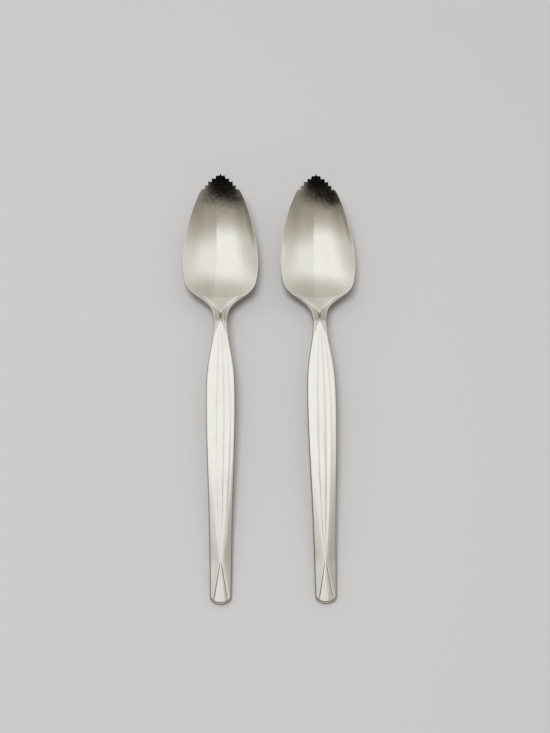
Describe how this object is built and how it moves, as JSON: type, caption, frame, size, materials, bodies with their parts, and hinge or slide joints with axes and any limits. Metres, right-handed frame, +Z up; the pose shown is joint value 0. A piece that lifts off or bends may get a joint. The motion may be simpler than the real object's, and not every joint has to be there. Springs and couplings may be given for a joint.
{
  "type": "grapefruit spoon pair",
  "caption": "Matching silver-plated grapefruit spoons with serrated pointed bowls and fluted handles, lying side by side on a flat surface.",
  "frame": {"origin": "on the table, under the middle of the pair", "axes": "+Y along the spoons towards the serrated tips, +X from the left spoon to the right spoon, +Z up from the table"},
  "size_m": [0.0596, 0.15, 0.01],
  "materials": {
    "silver_plate": "worn polished silver plate over nickel silver, with fine scratches"
  },
  "bodies": {
    "left_spoon": {"left_spoon": "silver_plate"},
    "right_spoon": {"right_spoon": "silver_plate"}
  },
  "joints": [
    {"name": "right_spoon_lift", "type": "slide", "parent": "left_spoon", "child": "right_spoon", "axis": [0, 0, 1], "range_m": [0, 0.06]}
  ]
}
